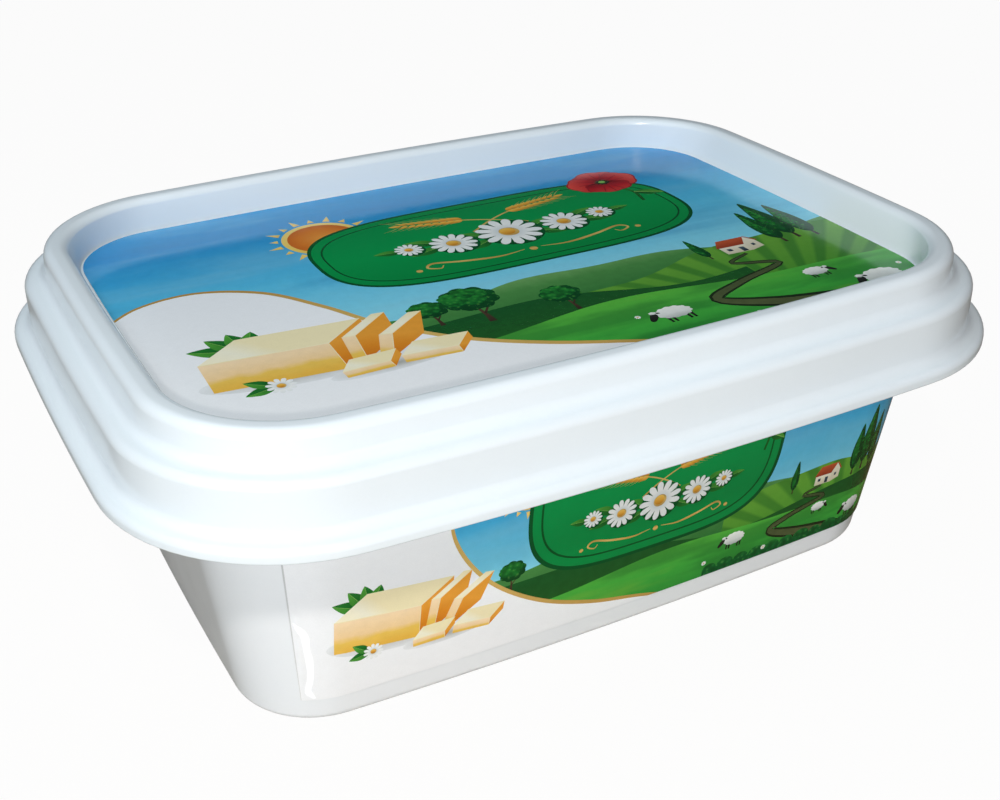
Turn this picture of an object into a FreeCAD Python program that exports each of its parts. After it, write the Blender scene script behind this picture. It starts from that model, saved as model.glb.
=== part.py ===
import FreeCAD, Part
import math
import os
import Sketcher

# A shut tub of butter: a white tapered tub, a stepped press-on lid over its rim and two thin printed
# label films, one in the lid's recess and one wrapped round three sides of the tub.
# Millimetres, +Z up, +X along the long side, the front towards -Y, the origin at the middle of the base.

SIZES = [
    ("lid_length", 125.0, "overall length, at the middle of the lip"),
    ("lid_width", 92.9, "overall width, at the middle of the lip"),
    ("total_height", 46.2, "from the table to the top of the rim"),
    ("lid_corner", 24.2, "corner radius of the lip"),
    ("long_bow", 800.0, "radius of the slightly bowed long sides"),
    ("short_bow", 880.0, "radius of the slightly bowed short sides"),
    ("rim_height", 4.3, "rim above the lid's ledge"),
    ("rim_width", 3.0, "flat top of the rim, before rounding"),
    ("rim_draft", 5.0, "lean of the rim's outer wall, in degrees"),
    ("ledge_width", 2.85, "ledge between the skirt and the rim's foot"),
    ("skirt_height", 6.7, "skirt between the ledge and the lip"),
    ("lip_width", 2.4, "how far the lip stands out from the skirt"),
    ("lip_height", 1.8, "height of the lip"),
    ("recess_depth", 5.1, "label panel below the rim"),
    ("side_slope", 0.9, "how far the recess runs in along the long sides on its way down"),
    ("end_slope", 1.8, "how far the recess runs in along the short sides on its way down"),
    ("panel_corner", 12.4, "corner radius of the label panel"),
    ("panel_bow", 2000.0, "radius of the label panel's bowed long sides"),
    ("rim_round", 1.35, "rounding of both top edges of the rim"),
    ("ledge_round", 1.2, "rounding of the ledge's edge"),
    ("ledge_cove", 1.3, "hollow between the ledge and the rim"),
    ("lip_round", 0.9, "rounding of the lip's top edge"),
    ("lip_foot_round", 0.35, "rounding of the lip's lower edge"),
    ("lip_cove", 1.2, "hollow between the lip and the skirt"),
    ("lid_wall", 1.3, "thickness of the lid's skirt and of its label panel"),
    ("snap_clearance", 0.4, "free play between the tub's rim and the lid's skirt"),
    ("tub_rim", 1.4, "thickness of the tub's own rim, under the lid's ledge"),
    ("tub_setback", 8.5, "top of the tub's wall inside the lid's lip"),
    ("tub_foot_corner", 11.2, "corner radius at the foot of the tub"),
    ("end_draft", 7.3, "lean of the tub's short walls, in degrees"),
    ("side_draft", 8.2, "lean of the tub's long walls, in degrees"),
    ("foot_round", 1.4, "rounding of the tub's lower edge"),
    ("film", 0.2, "thickness of a label film"),
    ("panel_margin", 0.3, "bare plastic round the lid label"),
    ("label_foot", 4.0, "lower edge of the tub label above the table"),
    ("label_height", 29.0, "height of the tub label"),
    ("seam_setback", 5.75, "tub label's upright edges in from the bare end's foot"),
    ("seam_lean", 4.1, "lean of those edges, in degrees"),
]

# Heights and outlines worked out from the sizes, as formulas of the sheet.
LEDGE_TOP = "(Sizes.total_height - Sizes.rim_height)"
LIP_TOP = f"({LEDGE_TOP} - Sizes.skirt_height)"
LIP_FOOT = f"({LIP_TOP} - Sizes.lip_height)"
PANEL = "(Sizes.total_height - Sizes.recess_depth)"
SEAT = f"({PANEL} - Sizes.lid_wall)"
TUB_RIM_FOOT = f"({SEAT} - Sizes.tub_rim)"
RIM_FOOT_INSET = "(Sizes.lip_width + Sizes.ledge_width)"
RIM_INSET = f"({RIM_FOOT_INSET} + Sizes.rim_height * tan(Sizes.rim_draft * 1 deg))"
RECESS_INSET = f"({RIM_INSET} + Sizes.rim_width)"
PANEL_END_INSET = f"({RECESS_INSET} + Sizes.end_slope)"
PANEL_SIDE_INSET = f"({RECESS_INSET} + Sizes.side_slope)"
SKIRT_BORE_INSET = "(Sizes.lip_width + Sizes.lid_wall)"
TUB_RIM_INSET = f"({SKIRT_BORE_INSET} + Sizes.snap_clearance)"
END_LEAN = f"({TUB_RIM_FOOT} * tan(Sizes.end_draft * 1 deg))"
SIDE_LEAN = f"({TUB_RIM_FOOT} * tan(Sizes.side_draft * 1 deg))"


def make_sheet(document):
    sheet = document.addObject("Spreadsheet::Sheet", "Sizes")
    for row, (alias, number, note) in enumerate(SIZES, start=1):
        sheet.set(f"A{row}", alias)
        sheet.set(f"B{row}", str(number))
        sheet.set(f"C{row}", note)
        sheet.setAlias(f"B{row}", alias)
    document.recompute()


def make_body(document, label):
    body = document.addObject("PartDesign::Body", label.title().replace("_", ""))
    body.Label = label
    return body


def make_sketch(body, name, plane_role, height):
    """An empty sketch on one of the body's origin planes, raised by a formula."""
    sketch = body.newObject("Sketcher::SketchObject", name)
    planes = [item for item in body.Origin.OriginFeatures if item.Role == plane_role]
    sketch.AttachmentSupport = (planes[0], "")
    sketch.MapMode = "FlatFace"
    sketch.setExpression("AttachmentOffset.Base.z", height)
    return sketch


def corner_centre(half_length, half_width, corner, short_bow, long_bow):
    """Centre of the corner arc that touches a bowed long side and a bowed short side."""
    short_centre = half_length - short_bow
    long_centre = half_width - long_bow
    apart = math.hypot(short_centre, long_centre)
    from_short = short_bow - corner
    from_long = long_bow - corner
    along = (from_short**2 - from_long**2 + apart**2) / (2 * apart)
    aside = math.sqrt(from_short**2 - along**2)
    towards_x = -short_centre / apart
    towards_y = long_centre / apart
    x = short_centre + along * towards_x - aside * towards_y
    y = along * towards_y + aside * towards_x
    return x, y


def add_arc(sketch, centre_x, centre_y, radius, start, end):
    circle = Part.Circle(FreeCAD.Vector(centre_x, centre_y, 0), FreeCAD.Vector(0, 0, 1), radius)
    sketch.addGeometry(Part.ArcOfCircle(circle, start, end), False)


def bind(sketch, constraint, formula):
    index = sketch.addConstraint(constraint)
    sketch.setExpression(f"Constraints[{index}]", formula)


def outline(body, name, height, length, width, corner, short_bow, long_bow):
    """A rounded rectangle with bowed sides: four side arcs and four corner arcs, all tangent."""
    sketch = make_sketch(body, name, "XY_Plane", height)
    half_length, half_width, radius, short_radius, long_radius = (
        float(sketch.evalExpression(formula))
        for formula in (f"({length}) / 2", f"({width}) / 2", corner, short_bow, long_bow)
    )
    x, y = corner_centre(half_length, half_width, radius, short_radius, long_radius)
    short_x = half_length - short_radius
    long_y = half_width - long_radius
    side = math.atan2(y, x - short_x)
    top = math.atan2(y - long_y, x)
    turn = math.pi
    add_arc(sketch, short_x, 0, short_radius, -side, side)
    add_arc(sketch, x, y, radius, side, top)
    add_arc(sketch, 0, long_y, long_radius, top, turn - top)
    add_arc(sketch, -x, y, radius, turn - top, turn - side)
    add_arc(sketch, -short_x, 0, short_radius, turn - side, turn + side)
    add_arc(sketch, -x, -y, radius, turn + side, turn + top)
    add_arc(sketch, 0, -long_y, long_radius, turn + top, 2 * turn - top)
    add_arc(sketch, x, -y, radius, 2 * turn - top, 2 * turn - side)
    for arc in range(8):
        sketch.addConstraint(Sketcher.Constraint("Tangent", arc, 2, (arc + 1) % 8, 1))
    sketch.addConstraint(Sketcher.Constraint("PointOnObject", 0, 3, -1))
    sketch.addConstraint(Sketcher.Constraint("PointOnObject", 2, 3, -2))
    sketch.addConstraint(Sketcher.Constraint("Symmetric", 0, 3, 4, 3, -1, 1))
    sketch.addConstraint(Sketcher.Constraint("Symmetric", 2, 3, 6, 3, -1, 1))
    for first, second in ((1, 3), (3, 5), (5, 7), (0, 4), (2, 6)):
        sketch.addConstraint(Sketcher.Constraint("Equal", first, second))
    bind(sketch, Sketcher.Constraint("Radius", 1, radius), corner)
    bind(sketch, Sketcher.Constraint("Radius", 0, short_radius), short_bow)
    bind(sketch, Sketcher.Constraint("Radius", 2, long_radius), long_bow)
    bind(
        sketch,
        Sketcher.Constraint("DistanceX", 0, 3, -1, 1, -short_x),
        f"{short_bow} - ({length}) / 2",
    )
    bind(
        sketch,
        Sketcher.Constraint("DistanceY", 2, 3, -1, 1, -long_y),
        f"{long_bow} - ({width}) / 2",
    )
    return sketch


def lid_outline(body, name, height, inset="0"):
    """The lid's outline, drawn in by an inset."""
    return outline(
        body,
        name,
        height,
        f"Sizes.lid_length - 2 * {inset}",
        f"Sizes.lid_width - 2 * {inset}",
        f"(Sizes.lid_corner - {inset})",
        f"(Sizes.short_bow - {inset})",
        f"(Sizes.long_bow - {inset})",
    )


def panel_outline(body, name, margin="0"):
    """The label panel's outline at the foot of the recess, drawn in by a margin."""
    return outline(
        body,
        name,
        PANEL,
        f"Sizes.lid_length - 2 * ({PANEL_END_INSET} + {margin})",
        f"Sizes.lid_width - 2 * ({PANEL_SIDE_INSET} + {margin})",
        f"(Sizes.panel_corner - {margin})",
        f"(Sizes.short_bow - {PANEL_END_INSET} - {margin})",
        f"(Sizes.panel_bow - {margin})",
    )


def pad(body, name, sketch, length):
    feature = body.newObject("PartDesign::Pad", name)
    feature.Profile = sketch
    feature.setExpression("Length", length)
    return feature


def loft(body, kind, name, lower, upper):
    feature = body.newObject(f"PartDesign::{kind}Loft", name)
    feature.Profile = lower
    feature.Sections = [upper]
    feature.Ruled = True
    return feature


def edges_along(feature, sketch):
    """Names of the solid's edges that lie on a sketch's outline."""
    found = []
    for number, edge in enumerate(feature.Shape.Edges, start=1):
        middle = edge.valueAt((edge.FirstParameter + edge.LastParameter) / 2)
        points = [middle] + [vertex.Point for vertex in edge.Vertexes]
        if max(sketch.Shape.distToShape(Part.Vertex(point))[0] for point in points) < 0.001:
            found.append(f"Edge{number}")
    return found


def fillet(document, body, name, sketches, radius):
    """Rounds every edge that lies on one of the sketches' outlines."""
    document.recompute()
    base = body.Tip
    feature = body.newObject("PartDesign::Fillet", name)
    feature.Base = (base, [edge for sketch in sketches for edge in edges_along(base, sketch)])
    feature.setExpression("Radius", radius)
    document.recompute()


def make_lid(document):
    """Three stacked steps, hollowed below for the tub's rim and sunk above for the label panel."""
    body = make_body(document, "lid")
    lip_foot = lid_outline(body, "LipFoot", LIP_FOOT)
    pad(body, "Lip", lip_foot, "Sizes.lip_height")
    skirt_foot = lid_outline(body, "SkirtFoot", LIP_TOP, "Sizes.lip_width")
    pad(body, "Skirt", skirt_foot, "Sizes.skirt_height")
    rim_foot = lid_outline(body, "RimFoot", LEDGE_TOP, RIM_FOOT_INSET)
    rim_top = lid_outline(body, "RimTop", "Sizes.total_height", RIM_INSET)
    loft(body, "Additive", "Rim", rim_foot, rim_top)
    panel_edge = panel_outline(body, "PanelEdge")
    recess_top = lid_outline(body, "RecessTop", "Sizes.total_height", RECESS_INSET)
    loft(body, "Subtractive", "Recess", panel_edge, recess_top)
    seat = lid_outline(body, "Seat", SEAT, SKIRT_BORE_INSET)
    bore = body.newObject("PartDesign::Pocket", "Bore")
    bore.Profile = seat
    bore.setExpression("Length", f"{SEAT} - {LIP_FOOT}")
    lip_edge = lid_outline(body, "LipEdge", LIP_TOP)
    ledge_edge = lid_outline(body, "LedgeEdge", LEDGE_TOP, "Sizes.lip_width")
    roundings = (
        ("LedgeCove", [rim_foot], "min(Sizes.ledge_cove; 0.5 * Sizes.ledge_width)"),
        ("LipCove", [skirt_foot], "min(Sizes.lip_cove; 0.55 * Sizes.lip_width)"),
        ("RimRound", [rim_top, recess_top], "min(Sizes.rim_round; 0.47 * Sizes.rim_width)"),
        ("LedgeRound", [ledge_edge], "min(Sizes.ledge_round; 0.45 * Sizes.ledge_width)"),
        ("LipRound", [lip_edge], "min(Sizes.lip_round; 0.42 * Sizes.lip_width)"),
        ("LipFootRound", [lip_foot], "Sizes.lip_foot_round"),
    )
    for name, sketches, radius in roundings:
        fillet(document, body, name, sketches, radius)
    return body


def tub_outline(body, name, height, share, out="0"):
    """The tub wall's outline; share is 1 at the foot and 0 under the tub's rim."""
    inset = f"(Sizes.tub_setback - {out})"
    corner = (
        f"((Sizes.lid_corner - Sizes.tub_setback) * (1 - {share})"
        f" + Sizes.tub_foot_corner * {share} + {out})"
    )
    return outline(
        body,
        name,
        height,
        f"Sizes.lid_length - 2 * {inset} - 2 * {share} * {END_LEAN}",
        f"Sizes.lid_width - 2 * {inset} - 2 * {share} * {SIDE_LEAN}",
        corner,
        f"(Sizes.short_bow - {inset})",
        f"(Sizes.long_bow - {inset})",
    )


def make_tub(document):
    """The filled tub: a tapered block that carries a flat rim under the lid."""
    body = make_body(document, "tub")
    foot = tub_outline(body, "Foot", "0", 1)
    shoulder = tub_outline(body, "Shoulder", TUB_RIM_FOOT, 0)
    loft(body, "Additive", "Wall", foot, shoulder)
    rim = lid_outline(body, "RimOutline", TUB_RIM_FOOT, TUB_RIM_INSET)
    pad(body, "TubRim", rim, "Sizes.tub_rim")
    fillet(document, body, "FootRound", [foot], "Sizes.foot_round")
    return body


def make_lid_label(document):
    """The printed film that lies in the lid's recess."""
    body = make_body(document, "lid_label")
    edge = panel_outline(body, "LabelEdge", "Sizes.panel_margin")
    pad(body, "Film", edge, "Sizes.film")
    return body


def add_polygon(sketch, corners):
    """Closes a loop of straight edges through corners given as pairs of formulas."""
    first = sketch.GeometryCount
    count = len(corners)
    points = []
    for across, up in corners:
        points.append(
            FreeCAD.Vector(float(sketch.evalExpression(across)), float(sketch.evalExpression(up)), 0)
        )
    for index in range(count):
        sketch.addGeometry(Part.LineSegment(points[index], points[(index + 1) % count]), False)
    for index in range(count):
        following = first + (index + 1) % count
        sketch.addConstraint(Sketcher.Constraint("Coincident", first + index, 2, following, 1))
    for index, (across, up) in enumerate(corners, start=first):
        start = points[index - first]
        bind(sketch, Sketcher.Constraint("DistanceX", -1, 1, index, 1, start.x), across)
        bind(sketch, Sketcher.Constraint("DistanceY", -1, 1, index, 1, start.y), up)


def make_tub_label(document):
    """The printed film round the front, one end and the back of the tub; the other end is bare."""
    body = make_body(document, "tub_label")
    outer_foot = tub_outline(body, "OuterFoot", "0", 1, "Sizes.film")
    outer_top = tub_outline(body, "OuterTop", TUB_RIM_FOOT, 0, "Sizes.film")
    loft(body, "Additive", "Sleeve", outer_foot, outer_top)
    inner_foot = tub_outline(body, "InnerFoot", "0", 1)
    inner_top = tub_outline(body, "InnerTop", TUB_RIM_FOOT, 0)
    loft(body, "Subtractive", "Inside", inner_foot, inner_top)
    window = make_sketch(body, "Window", "XZ_Plane", "0")
    far = "Sizes.lid_length"
    add_polygon(window, ((f"-{far}", f"-{far}"), (far, f"-{far}"), (far, far), (f"-{far}", far)))
    bare_foot = f"({END_LEAN} + Sizes.tub_setback + Sizes.seam_setback - Sizes.lid_length / 2)"
    slope = "tan(Sizes.seam_lean * 1 deg)"
    label_top = "(Sizes.label_foot + Sizes.label_height)"
    low_corner = (f"{bare_foot} - Sizes.label_foot * {slope}", "Sizes.label_foot")
    high_corner = (f"{bare_foot} - {label_top} * {slope}", label_top)
    end = "(Sizes.lid_length / 2)"
    add_polygon(window, (low_corner, (end, "Sizes.label_foot"), (end, label_top), high_corner))
    trim = body.newObject("PartDesign::Pocket", "Trim")
    trim.Profile = window
    trim.Midplane = True
    trim.Type = "ThroughAll"
    return body


def check(document, bodies):
    for item in document.Objects:
        if "Invalid" in item.State or "Error" in item.State:
            raise RuntimeError(f"{item.Name} failed: {item.State}")
    for body in bodies:
        if body.Shape.isNull() or not body.Shape.isValid() or len(body.Shape.Solids) != 1:
            raise RuntimeError(f"{body.Label} is not one valid solid")


document = FreeCAD.newDocument("ButterTub")
make_sheet(document)
bodies = [make(document) for make in (make_tub, make_lid, make_lid_label, make_tub_label)]
document.recompute()
check(document, bodies)
os.makedirs("parts", exist_ok=True)
for body in bodies:
    body.Shape.exportStep(f"parts/{body.Label}.step")
    print(body.Label, round(body.Shape.Volume, 1))
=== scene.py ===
import math

import bmesh
import bpy
from mathutils import Matrix, Vector, geometry


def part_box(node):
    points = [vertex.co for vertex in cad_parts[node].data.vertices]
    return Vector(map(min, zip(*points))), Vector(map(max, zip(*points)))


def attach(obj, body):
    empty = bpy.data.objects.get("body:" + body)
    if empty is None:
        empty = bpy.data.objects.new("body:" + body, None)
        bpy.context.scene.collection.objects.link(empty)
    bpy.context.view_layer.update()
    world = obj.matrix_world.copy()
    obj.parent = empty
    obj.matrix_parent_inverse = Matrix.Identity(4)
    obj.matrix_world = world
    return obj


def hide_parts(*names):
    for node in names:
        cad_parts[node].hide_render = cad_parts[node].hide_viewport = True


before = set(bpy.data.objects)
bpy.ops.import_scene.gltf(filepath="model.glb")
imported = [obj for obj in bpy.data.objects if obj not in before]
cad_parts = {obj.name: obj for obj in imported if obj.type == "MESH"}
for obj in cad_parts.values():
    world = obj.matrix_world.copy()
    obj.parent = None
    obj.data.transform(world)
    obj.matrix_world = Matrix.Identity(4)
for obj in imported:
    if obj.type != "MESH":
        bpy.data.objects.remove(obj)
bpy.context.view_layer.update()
print("frame loaded:", sorted(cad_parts))

mm = 0.001
scene = bpy.context.scene
scene.view_settings.view_transform = "Standard"


# camera, floor and light

cameraView = {
    "azimuth": -28.02,  # degrees from the front, towards the bare end
    "elevation": 28.51,
    "distance": 0.1986,
    "target": (0.00017, -0.00043, 0.01987),
    "roll": -0.37,
    "lens": 48.57,
    "sensor": 36,
    "clip": (0.005, 50),
}


def towards(azimuth, elevation):
    # the direction of a place seen from the object, in degrees from the front and up
    azimuth = math.radians(azimuth)
    elevation = math.radians(elevation)
    return Vector((
        math.sin(azimuth) * math.cos(elevation),
        -math.cos(azimuth) * math.cos(elevation),
        math.sin(elevation),
    ))


def makeCamera(view):
    roll = math.radians(view["roll"])
    back = towards(view["azimuth"], view["elevation"])
    right = Vector((0, 0, 1)).cross(back).normalized()
    up = back.cross(right)
    across = right * math.cos(roll) + up * math.sin(roll)
    upright = up * math.cos(roll) - right * math.sin(roll)
    turned = Matrix((across, upright, back)).transposed().to_4x4()
    data = bpy.data.cameras.new("camera")
    data.sensor_width = view["sensor"]
    data.lens = view["lens"]
    data.clip_start, data.clip_end = view["clip"]
    camera = bpy.data.objects.new("camera", data)
    place = Vector(view["target"]) + back * view["distance"]
    camera.matrix_world = Matrix.Translation(place) @ turned
    scene.collection.objects.link(camera)
    scene.camera = camera


makeCamera(cameraView)


def linear(red, green, blue):
    # a colour written 0 to 255, as the shader wants it
    parts = []
    for value in (red, green, blue):
        share = value / 255
        parts.append(share / 12.92 if share <= 0.04045 else ((share + 0.055) / 1.055) ** 2.4)
    return (parts[0], parts[1], parts[2], 1.0)


studio = {
    "room": (40, 43, 48),  # the dim room beyond the lamps
    "floorColour": (222, 216, 203),
    "floorGlow": 0.96,  # share of the floor that stays plain white to the eye
    "floorMirrored": (88, 70, 46),  # what the plastic mirrors of it
    "floorSize": 3.0,
    "floorSides": 64,
    "white": (1, 1, 1, 1),
    "aim": (0, 0, 0.025),
    "lamps": [
        # name, degrees left of the front, degrees up, distance, wide, high, watts, colour
        ("key", 28, 46.7, 0.38, 0.025, 0.025, 0.54, (255, 248, 241)),
        ("low", 24.4, 24.6, 0.32, 0.012, 0.012, 0.225, (255, 249, 244)),
        ("side", 60, 8, 0.6, 0.40, 0.16, 0.86, (232, 242, 255)),
        ("front", 0, 8, 0.6, 0.40, 0.16, 0.42, (220, 233, 255)),
        ("leftHigh", 90, 60, 0.30, 0.20, 0.20, 0.222, (222, 242, 255)),
        ("top", 30, 82, 0.35, 0.25, 0.25, 0.15, (214, 240, 255)),
    ],
}


def addNode(tree, kind, **settings):
    node = tree.nodes.new(kind)
    for name, value in settings.items():
        setattr(node, name, value)
    return node


def plug(tree, source, target):
    # a socket is linked, anything else is set as the socket's own value
    if isinstance(source, bpy.types.NodeSocket):
        tree.links.new(source, target)
    else:
        target.default_value = source


def made(tree, kind, inputs, **settings):
    # a node with these inputs; gives its first output
    node = addNode(tree, kind, **settings)
    for name, source in inputs.items():
        plug(tree, source, node.inputs[name])
    return node.outputs[0]


def calc(tree, operation, first, second=0.0, third=0.0):
    return made(tree, "ShaderNodeMath", {0: first, 1: second, 2: third}, operation=operation)


def ramp(tree, factor, stops, smooth="LINEAR"):
    node = addNode(tree, "ShaderNodeValToRGB")
    bar = node.color_ramp
    bar.interpolation = smooth
    while len(bar.elements) < len(stops):
        bar.elements.new(0.5)
    for element, (position, colour) in zip(bar.elements, stops):
        element.position = position
        element.color = colour
    plug(tree, factor, node.inputs["Fac"])
    return node.outputs["Color"]


def blend(tree, factor, first, second):
    node = addNode(tree, "ShaderNodeMix", data_type="RGBA")
    for number, source in ((0, factor), (6, first), (7, second)):
        plug(tree, source, node.inputs[number])
    return node.outputs[2]


def tint(tree, colour, mask, strength, other):
    return blend(tree, calc(tree, "MULTIPLY", mask, strength), colour, linear(*other))


def noiseAt(tree, place, scale, detail=2.0, distortion=0.0):
    inputs = {"Vector": place, "Scale": scale, "Detail": detail, "Distortion": distortion}
    return made(tree, "ShaderNodeTexNoise", inputs)


def bumpFrom(tree, height, strength, distance):
    return made(tree, "ShaderNodeBump", {"Height": height, "Strength": strength, "Distance": distance})


def newMaterial(name):
    # an empty material, its tree and the place on the piece
    material = bpy.data.materials.new(name)
    material.use_nodes = True
    tree = material.node_tree
    tree.nodes.clear()
    return material, tree, addNode(tree, "ShaderNodeTexCoord").outputs["Object"]


def showSurface(tree, shader):
    plug(tree, shader, addNode(tree, "ShaderNodeOutputMaterial").inputs["Surface"])


def linkObject(name, mesh):
    piece = bpy.data.objects.new(name, mesh)
    scene.collection.objects.link(piece)
    return piece


def makeFloor(settings):
    half = settings["floorSize"] / 2
    sides = settings["floorSides"]
    turns = [2 * math.pi * side / sides for side in range(sides)]
    mesh = bpy.data.meshes.new("floor")
    rim = [(half * math.cos(turn), half * math.sin(turn), 0) for turn in turns]
    mesh.from_pydata(rim, [], [list(range(sides))])
    floor = linkObject("floor", mesh)
    paper, tree, place = newMaterial("floorPaper")
    base = linear(*settings["floorColour"])
    paler = tuple(min(1.0, part * 1.015) for part in base[:3]) + (1.0,)
    mottled = blend(tree, noiseAt(tree, place, 60), base, paler)
    matte = made(tree, "ShaderNodeBsdfDiffuse", {"Color": mottled})

    # plain white to the eye, dimmer and warmer where the plastic mirrors it
    rays = addNode(tree, "ShaderNodeLightPath")
    camera = rays.outputs["Is Camera Ray"]
    glow = blend(tree, camera, linear(*settings["floorMirrored"]), settings["white"])
    seen = calc(tree, "MAXIMUM", camera, rays.outputs["Is Glossy Ray"])
    seen = calc(tree, "MAXIMUM", seen, rays.outputs["Is Transmission Ray"])
    seen = calc(tree, "MULTIPLY", seen, settings["floorGlow"])
    plain = made(tree, "ShaderNodeEmission", {"Color": glow})
    showSurface(tree, made(tree, "ShaderNodeMixShader", {0: seen, 1: matte, 2: plain}))
    mesh.materials.append(paper)


def makeLamps(settings):
    aim = Vector(settings["aim"])
    for name, azimuth, elevation, distance, wide, high, watts, colour in settings["lamps"]:
        data = bpy.data.lights.new(name, "AREA")
        data.shape = "RECTANGLE"
        data.size = wide
        data.size_y = high
        data.energy = watts
        data.color = linear(*colour)[:3]
        lamp = bpy.data.objects.new(name, data)
        away = towards(-azimuth, elevation)
        turned = away.to_track_quat("Z", "Y").to_matrix().to_4x4()
        lamp.matrix_world = Matrix.Translation(aim + away * distance) @ turned
        scene.collection.objects.link(lamp)


def makeRoom(settings):
    world = bpy.data.worlds.new("room")
    scene.world = world
    world.use_nodes = True
    tree = world.node_tree
    seen = addNode(tree, "ShaderNodeLightPath").outputs["Is Camera Ray"]
    backdrop = blend(tree, seen, linear(*settings["room"]), settings["white"])
    plug(tree, backdrop, tree.nodes["Background"].inputs["Color"])


makeFloor(studio)
makeLamps(studio)
makeRoom(studio)
print("camera, floor and lamps ready")


# bowed outlines shared by the lid, the tub and the labels

arcSteps = (38, 20, 28, 20, 38, 20, 28, 20)  # front, corner, end, corner, and again from the back


def bowedOutline(halfLength, halfWidth, corner, shortBow, longBow):
    # eight tangent arcs from the front left on: centre x, centre y, radius, first angle, last angle
    shortCentre = halfLength - shortBow
    longCentre = halfWidth - longBow
    apart = math.hypot(shortCentre, longCentre)
    fromShort = shortBow - corner
    fromLong = longBow - corner
    along = (fromShort**2 - fromLong**2 + apart**2) / (2 * apart)
    aside = math.sqrt(fromShort**2 - along**2)
    x = shortCentre + (-shortCentre * along - longCentre * aside) / apart
    y = (longCentre * along - shortCentre * aside) / apart
    side = math.atan2(y, x - shortCentre)
    lean = math.atan2(x, y - longCentre)
    right = math.pi / 2
    return [
        (0, -longCentre, longBow, -right - lean, -right + lean),
        (x, -y, corner, -right + lean, -side),
        (shortCentre, 0, shortBow, -side, side),
        (x, y, corner, side, right - lean),
        (0, longCentre, longBow, right - lean, right + lean),
        (-x, y, corner, right + lean, 2 * right - side),
        (-shortCentre, 0, shortBow, 2 * right - side, 2 * right + side),
        (-x, -y, corner, 2 * right + side, 3 * right - lean),
    ]


def onOutline(arcs, number, share, height):
    # the point at a share of the way along one arc
    x, y, radius, first, last = arcs[number]
    angle = first + (last - first) * share
    return Vector((x + math.cos(angle) * radius, y + math.sin(angle) * radius, height))


def ringPoints(arcs, height):
    points = []
    for number, steps in enumerate(arcSteps):
        points += [onOutline(arcs, number, step / steps, height) for step in range(steps)]
    return points


def settle(piece):
    # the evaluated shape becomes the plain mesh, and the modifiers go
    graph = bpy.context.evaluated_depsgraph_get()
    mesh = bpy.data.meshes.new_from_object(piece.evaluated_get(graph))
    piece.modifiers.clear()
    piece.data = mesh
    return piece


def crispen(piece, degrees=32):
    # smooth faces, sharp only where two of them really meet at an edge
    mesh = piece.data
    mesh.polygons.foreach_set("use_smooth", [True] * len(mesh.polygons))
    mesh.set_sharp_from_angle(angle=math.radians(degrees))
    weigh = piece.modifiers.new("evenShading", "WEIGHTED_NORMAL")
    weigh.keep_sharp = True
    weigh.weight = 100
    return settle(piece)


# materials of the plastic

plastics = {
    "lidPlastic": {
        "colour": (236, 244, 248),
        "roughness": (0.19, 0.262),
        "clouding": 0.03,
        "peel": 0.000012,
    },
    "tubPlastic": {
        "colour": (243, 247, 250),
        "roughness": (0.19, 0.265),
        "clouding": 0.03,
        "peel": 0.00001,
    },
}


plasticGrain = {
    # scale and detail of each noise
    "clouding": (38, 3),
    "specks": (2600, 2),
    "gloss": (110, 5),
    "peel": (420, 2),
    "speckShare": 0.05,
    "speckColour": (196, 200, 204),
    "peelStrength": 0.5,
    "ior": 1.49,
}


def plasticMaterial(name):
    look = plastics[name]
    grain = plasticGrain
    material, tree, place = newMaterial(name)

    # slow clouding of the moulded plastic, with fine specks
    base = linear(*look["colour"])
    darker = tuple(part * (1 - look["clouding"]) for part in base[:3]) + (1.0,)
    tone = blend(tree, noiseAt(tree, place, *grain["clouding"]), darker, base)
    specks = noiseAt(tree, place, *grain["specks"])
    tone = tint(tree, tone, specks, grain["speckShare"], grain["speckColour"])

    # gloss that wanders a little, and shallow orange peel
    low, high = look["roughness"]
    gloss = calc(tree, "MULTIPLY_ADD", noiseAt(tree, place, *grain["gloss"]), high - low, low)
    peel = bumpFrom(tree, noiseAt(tree, place, *grain["peel"]), grain["peelStrength"], look["peel"])
    surface = {"Base Color": tone, "Roughness": gloss, "Normal": peel, "IOR": grain["ior"]}
    showSurface(tree, made(tree, "ShaderNodeBsdfPrincipled", surface))
    return material


lidPlastic = plasticMaterial("lidPlastic")
tubPlastic = plasticMaterial("tubPlastic")


# the lid: one moulding profile swept round the bowed outline

lidLow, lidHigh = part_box("lid")
panelLow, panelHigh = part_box("lid_label")

lid = {
    "corner": 24.2,
    "longBow": 800.0,
    "shortBow": 880.0,
    "lipHeight": 1.8,
    "lipWidth": 2.4,
    "skirtHeight": 6.7,
    "ledgeWidth": 2.85,
    "rimHeight": 4.3,
    "rimDraft": 5.0,
    "rimWidth": 3.0,
    "wall": 1.3,
    "lipFootRound": 0.35,
    "lipRound": 0.9,
    "lipCove": 1.2,
    "ledgeRound": 1.2,
    "ledgeCove": 1.3,
    "rimRound": 1.35,
    "roundSteps": 7,
    "panelCorner": 12.4,
    "panelBow": 2000.0,
    "panelMargin": 0.3,
}
profileSizes = (
    "lipHeight", "lipWidth", "skirtHeight", "ledgeWidth", "rimHeight", "rimWidth", "wall",
    "lipFootRound", "lipRound", "lipCove", "ledgeRound", "ledgeCove", "rimRound",
)
lastShare = 0.9999  # past this share of the profile only its last point is left
weldGap = 0.000002

panelHalfLength = panelHigh.x / mm + lid["panelMargin"]
panelHalfWidth = panelHigh.y / mm + lid["panelMargin"]


def lidOutline(inset):
    # the lip's own outline, or one this far inside it
    return bowedOutline(
        lidHigh.x / mm - inset,
        lidHigh.y / mm - inset,
        lid["corner"] - inset,
        lid["shortBow"] - inset,
        lid["longBow"] - inset,
    )


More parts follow.
